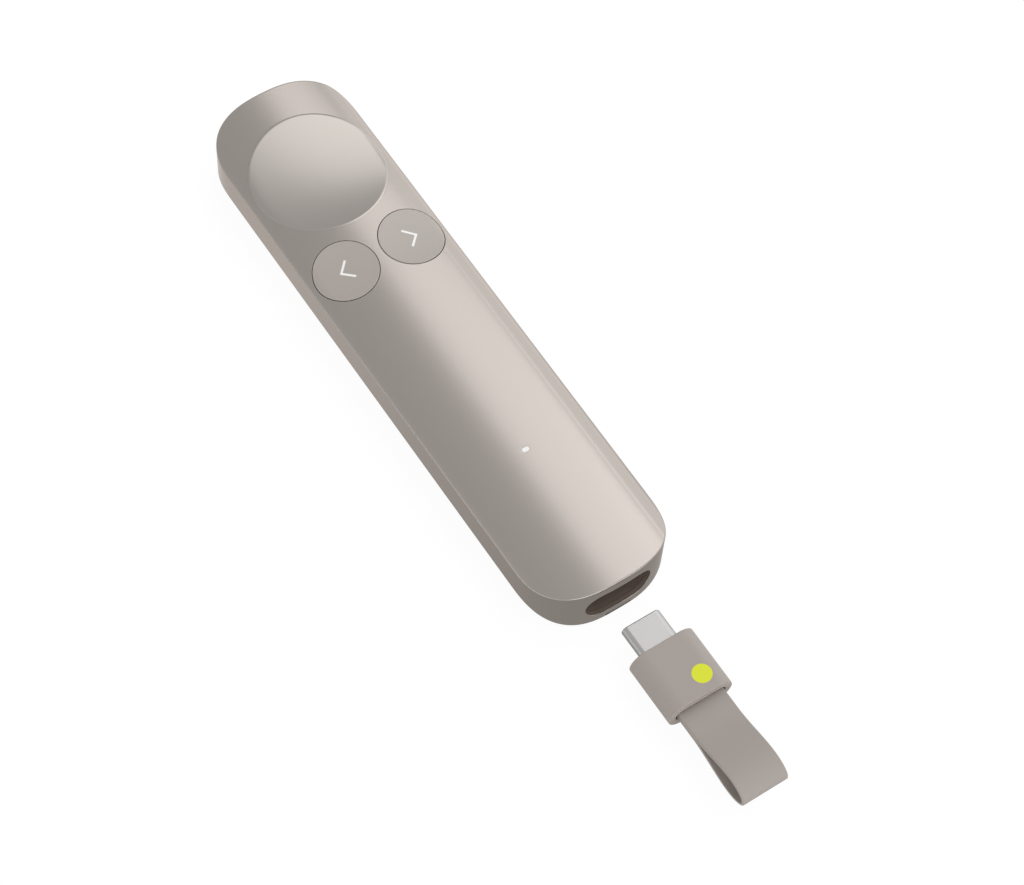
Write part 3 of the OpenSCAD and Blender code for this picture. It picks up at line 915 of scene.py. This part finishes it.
def plug_shell():
    """The plug's steel tube."""
    piece = Piece()
    size = PLUG_W, PLUG_H
    opening = [v - 2 * PLUG_WALL - PLUG_CLOSER for v in size]
    rings = [pill_ring(piece, *size, PLUG_IN, 0)]
    rings += pill_fillet(piece, *size, PLUG_TIP, PLUG_R, 0, 90)
    rings += pill_fillet(piece, *opening, PLUG_TIP, PLUG_IN_R, 90, 180, inward=True)
    rings.append(pill_ring(piece, *opening, PLUG_IN, 180))
    rings.append(pill_ring(piece, *opening, PLUG_IN, -90))
    rings.append(pill_ring(piece, *size, PLUG_IN, -90))
    piece.chain(rings, closed=True)
    return piece.make("usb_plug_skin")


# ---- strap


def ease(t):
    """A step from 0 to 1 with soft ends."""
    return t * t * (3 - 2 * t)


def loop_side(h0, h1, inset):
    """Side view of the loop, or of its opening where h0 is 0: points (y, z) in order round it.
    Its half height grows from h0 behind the neck to h1, and its end is drawn in by inset."""
    y1 = PIN_Y - NECK_L
    y2 = CAP_REAR - STRAP_L + ROUND_L
    run = []
    for i in range(LOOP_STEPS + 1):
        t = i / LOOP_STEPS
        run.append(Vector((y1 + (y2 - y1) * t, h0 + (h1 - h0) * ease(t))))
    end = []
    for i in range(1, BEND_STEPS):
        a = math.radians(90 - 180 * i / BEND_STEPS)
        end.append(Vector((y2 - (ROUND_L - inset) * math.cos(a), h1 * math.sin(a))))
    back = [Vector((p.x, -p.y)) for p in reversed(run)]
    return run + end + (back if h0 else back[:-1])


def band_side():
    """Side view of the whole strap, with its eye and its neck."""
    eye = []
    for i in range(BEND_STEPS + 1):
        a = math.radians(180 * i / BEND_STEPS - 90)
        eye.append(Vector((PIN_Y + EYE_R * math.cos(a), EYE_R * math.sin(a))))
    neck = [PIN_Y - NECK_L * i / NECK_STEPS for i in range(1, NECK_STEPS)]
    upper = [Vector((y, EYE_R)) for y in neck]
    lower = [Vector((y, -EYE_R)) for y in reversed(neck)]
    return eye + upper + loop_side(EYE_R, LOOP_H / 2, 0) + lower


def across_band(piece, side_view, r, face):
    """Rings across the strap along an edge of its side view, with corners of radius r. face is 1
    for the outside and -1 for an opening. Returns the rims in the two side faces."""
    n = len(side_view)
    leans = [math.radians(a) for a in (0, 30, 60, 90)]
    rings = []
    for end, row in ((-1, leans), (1, leans[::-1])):
        for lean in row:
            x = end * (STRAP_W / 2 - r * (1 - math.cos(lean)))
            pairs = []
            for i, p in enumerate(side_view):
                along = (side_view[(i + 1) % n] - side_view[i - 1]).normalized()
                out = Vector((along.y, -along.x)) * face
                q = p - out * r * (1 - math.sin(lean))
                normal = Vector((end * math.cos(lean), *(out * math.sin(lean))))
                pairs.append((Vector((x, q.x, SLOT_Z + q.y)), normal))
            rings.append(piece.ring(pairs))
    piece.chain(rings)
    return rings[0], rings[-1]


def strap_loop():
    """The band: an eye for the pin, a solid neck and a loop."""
    piece = Piece()
    outside = across_band(piece, band_side(), BAND_R, 1)
    opening = across_band(piece, loop_side(0, LOOP_H / 2 - STRAP_T, STRAP_T), BAND_IN_R, -1)
    hole = [
        Vector((PIN_Y + EYE_IN_R * math.cos(a), EYE_IN_R * math.sin(a)))
        for a in angles(EYE_STEPS)
    ]
    eye = across_band(piece, hole, EYE_LIP_R, -1)
    for k, end in enumerate((-1, 1)):

        def lift(y, z, end=end):
            return Vector((end * STRAP_W / 2, y, z)), Vector((end, 0, 0))

        holes = [opening[k], eye[k]]
        piece.fill(outside[k], holes, lambda p: (p.y, p.z), lift, grid=BAND_GRID)
    return piece.make("strap_band")


# ---- materials

GLANCE_TINT = (0.74, 0.7, 0.67, 1)  # of the satin metal at grazing angles
BOARD_FIELD = 3  # millimetres between the lines on the circuit board


def linear(hex_colour):
    """Linear colour of a #rrggbb value."""
    out = []
    for i in (1, 3, 5):
        v = int(hex_colour[i : i + 2], 16) / 255
        out.append(v / 12.92 if v <= 0.04045 else ((v + 0.055) / 1.055) ** 2.4)
    return (*out, 1)


class Finish:
    """A procedural material: one Principled shader and the nodes that vary it."""

    def __init__(self, name, colour, rough, metal=0.0, specular=0.5):
        self.material = bpy.data.materials.new(name)
        self.material.use_nodes = True
        self.nodes = self.material.node_tree.nodes
        self.links = self.material.node_tree.links
        self.shader = self.nodes["Principled BSDF"]
        self.colour = linear(colour)
        self.shader.inputs["Base Color"].default_value = self.colour
        self.shader.inputs["Roughness"].default_value = rough
        self.shader.inputs["Metallic"].default_value = metal
        self.shader.inputs["Specular IOR Level"].default_value = specular
        self.place = self.nodes.new("ShaderNodeTexCoord").outputs["Object"]

    def noise(self, size, detail=2.0, stretch=(1, 1, 1)):
        """Noise whose grains are size millimetres across."""
        mapping = self.nodes.new("ShaderNodeMapping")
        mapping.inputs["Scale"].default_value = stretch
        self.links.new(self.place, mapping.inputs["Vector"])
        noise = self.nodes.new("ShaderNodeTexNoise")
        noise.inputs["Scale"].default_value = 1 / (size * MM)
        noise.inputs["Detail"].default_value = detail
        self.links.new(mapping.outputs["Vector"], noise.inputs["Vector"])
        return noise.outputs["Fac"]

    def vary_colour(self, source, amount):
        """Lightens and darkens the colour by amount."""
        mix = self.nodes.new("ShaderNodeMix")
        mix.data_type = "RGBA"
        self.links.new(source, mix.inputs["Factor"])
        # sockets 6 and 7 are the mixed colours, and output 2 is their mixture
        for socket, k in ((6, 1 - amount), (7, 1 + amount)):
            colour = [min(c * k, 1) for c in self.colour[:3]]
            mix.inputs[socket].default_value = (*colour, 1)
        self.links.new(mix.outputs[2], self.shader.inputs["Base Color"])

    def vary_rough(self, source, low, high):
        """Lets the roughness run from low to high."""
        spread = self.nodes.new("ShaderNodeMapRange")
        spread.inputs["To Min"].default_value = low
        spread.inputs["To Max"].default_value = high
        self.links.new(source, spread.inputs["Value"])
        self.links.new(spread.outputs["Result"], self.shader.inputs["Roughness"])

    def grain(self, source, height):
        """Bump of a height in millimetres."""
        bump = self.nodes.new("ShaderNodeBump")
        bump.inputs["Distance"].default_value = height * MM
        self.links.new(source, bump.inputs["Height"])
        self.links.new(bump.outputs["Normal"], self.shader.inputs["Normal"])


def moulded(name, colour, rough, size=0.12, height=0.004, specular=0.4):
    """Matt moulded plastic with a fine spark-eroded grain."""
    f = Finish(name, colour, rough, specular=specular)
    f.vary_rough(f.noise(size=1.5), low=rough - 0.04, high=rough + 0.04)
    f.vary_colour(f.noise(size=0.3, detail=3), amount=0.015)
    f.grain(f.noise(size, detail=3), height)
    return f.material


def satin_metal(name, colour, rough):
    """Metallic finish with a soft sheen and a very fine grain."""
    f = Finish(name, colour, rough, metal=1.0)
    f.shader.inputs["Specular Tint"].default_value = GLANCE_TINT
    f.vary_rough(f.noise(size=0.5, detail=3), low=rough - 0.02, high=rough + 0.02)
    f.vary_colour(f.noise(size=0.1, detail=4), amount=0.02)
    f.grain(f.noise(size=0.12), height=0.0006)
    return f.material


def steel(name, colour, rough, stretch=(1, 1, 1)):
    """Stamped sheet, brushed where its grain is stretched."""
    f = Finish(name, colour, rough, metal=1.0)
    coarse = f.noise(size=0.25, detail=4, stretch=stretch)
    f.vary_rough(coarse, low=rough - 0.08, high=rough + 0.1)
    f.grain(f.noise(size=0.1, detail=3, stretch=stretch), height=0.0015)
    return f.material


def circuit_board():
    """Green solder mask in two tones, with darker lines between its fields."""
    green = "#1f5a40"
    f = Finish("board_green", green, rough=0.35)
    cells = f.nodes.new("ShaderNodeTexBrick")
    cells.inputs["Scale"].default_value = 1 / (BOARD_FIELD * MM)
    cells.inputs["Color1"].default_value = linear(green)
    cells.inputs["Color2"].default_value = linear("#2a6b4c")
    cells.inputs["Mortar"].default_value = linear("#174632")
    cells.inputs["Mortar Size"].default_value = 0.03
    f.links.new(f.place, cells.inputs["Vector"])
    f.links.new(cells.outputs["Color"], f.shader.inputs["Base Color"])
    f.grain(cells.outputs["Fac"], height=0.03)
    return f.material


def window():
    """Milky plastic of the status light."""
    f = Finish("light_window_clear", "#ececea", rough=0.3)
    f.shader.inputs["Subsurface Weight"].default_value = 0.3
    f.shader.inputs["Subsurface Radius"].default_value = (MM, MM, MM)
    f.vary_colour(f.noise(size=0.3), amount=0.02)
    return f.material


def foil():
    """Aluminium pouch of the battery, faintly wrinkled."""
    f = Finish("pouch_foil", "#c2c6ca", rough=0.3, metal=1.0)
    f.vary_rough(f.noise(size=2, detail=3), low=0.22, high=0.4)
    f.grain(f.noise(size=1.2, detail=3), height=0.03)
    return f.material


materials = {
    "casing": satin_metal("casing_satin", "#958f8a", 0.25),
    "cover": moulded("cover_grey", "#8f8882", 0.55),
    "dish": satin_metal("pad_satin", "#98938e", 0.24),
    "button": moulded("button_matt", "#a19992", 0.35, specular=0.8),
    "white": moulded("print_white", "#ececea", 0.5),
    "window": window(),
    "bay": moulded("bay_dark", "#786a61", 0.7, specular=0.2),
    "black": moulded("frame_black", "#34363a", 0.55),
    "board": circuit_board(),
    "chip": moulded("chip_black", "#26272a", 0.45),
    "ceramic": moulded("ceramic_cream", "#e2dccb", 0.5),
    "foil": foil(),
    "foam": moulded("foam_grey", "#55585c", 0.9, size=0.3, height=0.05),
    "steel": steel("stamped_steel", "#c9c9c7", 0.3),
    "silicone": moulded("silicone_black", "#3a3c3f", 0.6),
    "plug": steel("plug_steel", "#a09f9e", 0.38, stretch=(4, 0.4, 4)),
    "receiver": moulded("receiver_matt", "#a29a94", 0.75, specular=0.25),
    "strap": moulded("strap_matt", "#9e9690", 0.65, size=0.1, height=0.006),
    "lime": moulded("print_lime", "#d5dc3a", 0.6, specular=0.15),
}

NODE_FINISH = {
    "chassis": "black",
    "status_led": "ceramic",
    "main_pcb": "board",
    "pcb_screws": "steel",
    "processor_chip": "chip",
    "motion_sensor": "chip",
    "radio_shield": "steel",
    "radio_chip": "chip",
    "chip_antenna": "ceramic",
    "charger_chip": "chip",
    "battery_cell": "foil",
    "battery_pad": "foam",
    "battery_connector": "ceramic",
    "vibration_motor": "steel",
    "dish_switch": "steel",
    "back_switch": "steel",
    "next_switch": "steel",
    "dish_plunger": "silicone",
    "back_plunger": "silicone",
    "next_plunger": "silicone",
    "receiver_bay": "bay",
    "charge_port_shell": "steel",
    "charge_port_tongue": "chip",
    "receiver_core": "black",
    "receiver_front": "receiver",
    "usb_plug_insert": "chip",
    "receiver_pcb": "board",
    "receiver_chip": "chip",
    "strap_pin": "steel",
}


def dress(obj, material):
    obj.data.materials.clear()
    obj.data.materials.append(materials[material])


def place(obj, material, body, node, slot):
    """Gives a piece its material and its body, and hides the CAD node it stands for. Its record
    slot is not used.
    """
    dress(obj, material)
    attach(obj, body)
    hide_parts(node)


for node, material in NODE_FINISH.items():
    dress(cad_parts[node], material)

place(top_shell(), "casing", "root", "top_shell", "casing_metal")
place(bottom_cover(), "cover", "root", "bottom_cover", "cover_grey")
# a dark sheet of painted shade inside the receiver's opening
opening_sheet = painted_opening_shade()  # stands for no CAD node
dress(opening_sheet, "bay")
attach(opening_sheet, "root")
place(light_window(), "window", "root", "led_light_guide", "light_guide")
place(pointer_dish(), "dish", "dish", "pointer_dish", "dish_matte")
place(button(-1), "button", "back", "back_button", "button_matte")
place(button(1), "button", "next", "next_button", "button_matte")
place(arrow(-1), "white", "back", "back_arrow", "mark_white")
place(arrow(1), "white", "next", "next_arrow", "mark_white")
place(receiver_cap(), "receiver", "receiver", "receiver_cap", "receiver_matte")
place(receiver_mark(), "lime", "receiver", "receiver_mark", "lime")
place(plug_shell(), "plug", "receiver", "usb_plug_shell", "steel")
place(strap_loop(), "strap", "receiver", "strap_loop", "strap_matte")


# ---- floor, lights and camera


def ramp(nodes, links, source, first, last, low, high):
    """A value that runs from low to high while source runs from first to last."""
    spread = nodes.new("ShaderNodeMapRange")
    spread.inputs["From Min"].default_value = first
    spread.inputs["From Max"].default_value = last
    spread.inputs["To Min"].default_value = low
    spread.inputs["To Max"].default_value = high
    links.new(source, spread.inputs["Value"])
    return spread.outputs["Result"]


def seen_directly(nodes, links):
    """1 for rays from the camera, or from gloss or glass, and 0 for the light on the object."""
    path = nodes.new("ShaderNodeLightPath")
    sides = [path.outputs[k] for k in ("Is Camera Ray", "Is Glossy Ray", "Is Transmission Ray")]
    out = sides[0]
    for other in sides[1:]:
        either = nodes.new("ShaderNodeMath")
        either.operation = "MAXIMUM"
        links.new(out, either.inputs[0])
        links.new(other, either.inputs[1])
        out = either.outputs[0]
    return out


def floor():
    """A plane that the camera sees as white under the object's shadow, and gloss as painted
    reflections: brighter to the right and darker towards the lower end. From below it is clear."""
    bpy.ops.mesh.primitive_plane_add(size=FLOOR_SIZE, location=(0, 0, -FLOOR_GAP * MM))
    obj = bpy.context.object
    obj.name = "floor"
    material = bpy.data.materials.new("floor_white")
    material.use_nodes = True
    nodes, links = material.node_tree.nodes, material.node_tree.links
    shader = nodes["Principled BSDF"]
    shader.inputs["Base Color"].default_value = (FLOOR_GREY, FLOOR_GREY, FLOOR_GREY, 1)
    shader.inputs["Roughness"].default_value = FLOOR_ROUGH
    glow = nodes.new("ShaderNodeEmission")
    camera_ray = nodes.new("ShaderNodeLightPath").outputs["Is Camera Ray"]
    place_of = nodes.new("ShaderNodeSeparateXYZ")
    links.new(nodes.new("ShaderNodeTexCoord").outputs["Object"], place_of.inputs[0])
    # painted reflection in the satin metal: brighter to the right, painted shade towards the lower
    # end
    painted_reflection = nodes.new("ShaderNodeMath")
    for k, (axis, *limits) in enumerate(FLOOR_RAMPS):
        links.new(ramp(nodes, links, place_of.outputs[axis], *limits), painted_reflection.inputs[k])
    level = nodes.new("ShaderNodeMix")
    links.new(camera_ray, level.inputs["Factor"])
    links.new(painted_reflection.outputs[0], level.inputs["A"])
    level.inputs["B"].default_value = FLOOR_GLOW
    links.new(level.outputs["Result"], glow.inputs["Strength"])
    share = nodes.new("ShaderNodeMath")
    share.operation = "MULTIPLY"
    share.inputs[1].default_value = FLOOR_SHARE
    links.new(seen_directly(nodes, links), share.inputs[0])
    both = nodes.new("ShaderNodeMixShader")
    links.new(share.outputs[0], both.inputs["Fac"])
    links.new(shader.outputs[0], both.inputs[1])
    links.new(glow.outputs[0], both.inputs[2])
    from_below = nodes.new("ShaderNodeMixShader")
    links.new(nodes.new("ShaderNodeNewGeometry").outputs["Backfacing"], from_below.inputs["Fac"])
    links.new(both.outputs[0], from_below.inputs[1])
    links.new(nodes.new("ShaderNodeBsdfTransparent").outputs[0], from_below.inputs[2])
    links.new(from_below.outputs[0], nodes["Material Output"].inputs["Surface"])
    obj.data.materials.append(material)


def softbox(name, along, up, size, turned, radiance):
    """An oval light seen from the middle of the object in the direction along (the angle from
    the vertical towards +x) and up (the angle towards +y), both in degrees."""
    a, e = math.radians(along), math.radians(up)
    back = Vector((math.sin(a) * math.cos(e), math.sin(e), math.cos(a) * math.cos(e)))
    across = Vector((0, 1, 0)).cross(back).normalized()
    data = bpy.data.lights.new(name, "AREA")
    data.shape = "ELLIPSE"
    data.size, data.size_y = size
    # the power of a face that shines evenly is radiance * pi * area
    data.energy = radiance * math.pi * (math.pi / 4 * size[0] * size[1])
    obj = bpy.data.objects.new(name, data)
    bpy.context.scene.collection.objects.link(obj)
    frame_of = Matrix((across, back.cross(across), back)).transposed()
    frame_of = frame_of @ Matrix.Rotation(math.radians(turned), 3, "Z")
    obj.matrix_world = Matrix.Translation(back * LIGHT_FAR) @ frame_of.to_4x4()


def studio():
    """The world, white to the camera and dimmer on the object, and the four lights."""
    world = bpy.data.worlds.new("studio")
    world.use_nodes = True
    nodes, links = world.node_tree.nodes, world.node_tree.links
    background = nodes["Background"]
    background.inputs["Color"].default_value = (1, 1, 1, 1)
    level = nodes.new("ShaderNodeMapRange")
    level.inputs["To Min"].default_value = WORLD_LEVEL
    links.new(seen_directly(nodes, links), level.inputs["Value"])
    toward = nodes.new("ShaderNodeSeparateXYZ")
    links.new(nodes.new("ShaderNodeTexCoord").outputs["Generated"], toward.inputs[0])
    sky = ramp(nodes, links, toward.outputs["Y"], *SKY_RAMP)
    links.new(sky, level.inputs["To Max"])
    links.new(level.outputs["Result"], background.inputs["Strength"])
    bpy.context.scene.world = world
    for light in SOFTBOXES:
        softbox(*light)


def camera():
    """The camera at the photo's viewing angle."""
    data = bpy.data.cameras.new("photo_camera")
    data.sensor_width = SENSOR_MM
    data.lens = CAMERA_FOCUS_PX / PHOTO_W * SENSOR_MM
    obj = bpy.data.objects.new("photo_camera", data)
    bpy.context.scene.collection.objects.link(obj)
    a, e = math.radians(CAMERA_AZIMUTH), math.radians(CAMERA_ELEVATION)
    back = Vector((math.sin(a) * math.cos(e), -math.cos(a) * math.cos(e), math.sin(e)))
    turned = back.to_track_quat("Z", "Y").to_matrix()
    roll = Matrix.Rotation(math.radians(CAMERA_ROLL), 3, "Z")
    obj.matrix_world = Matrix.Translation(CAMERA_AT) @ (turned @ roll).to_4x4()
    bpy.context.scene.camera = obj


floor()
studio()
camera()
bpy.context.scene.view_settings.view_transform = "Standard"
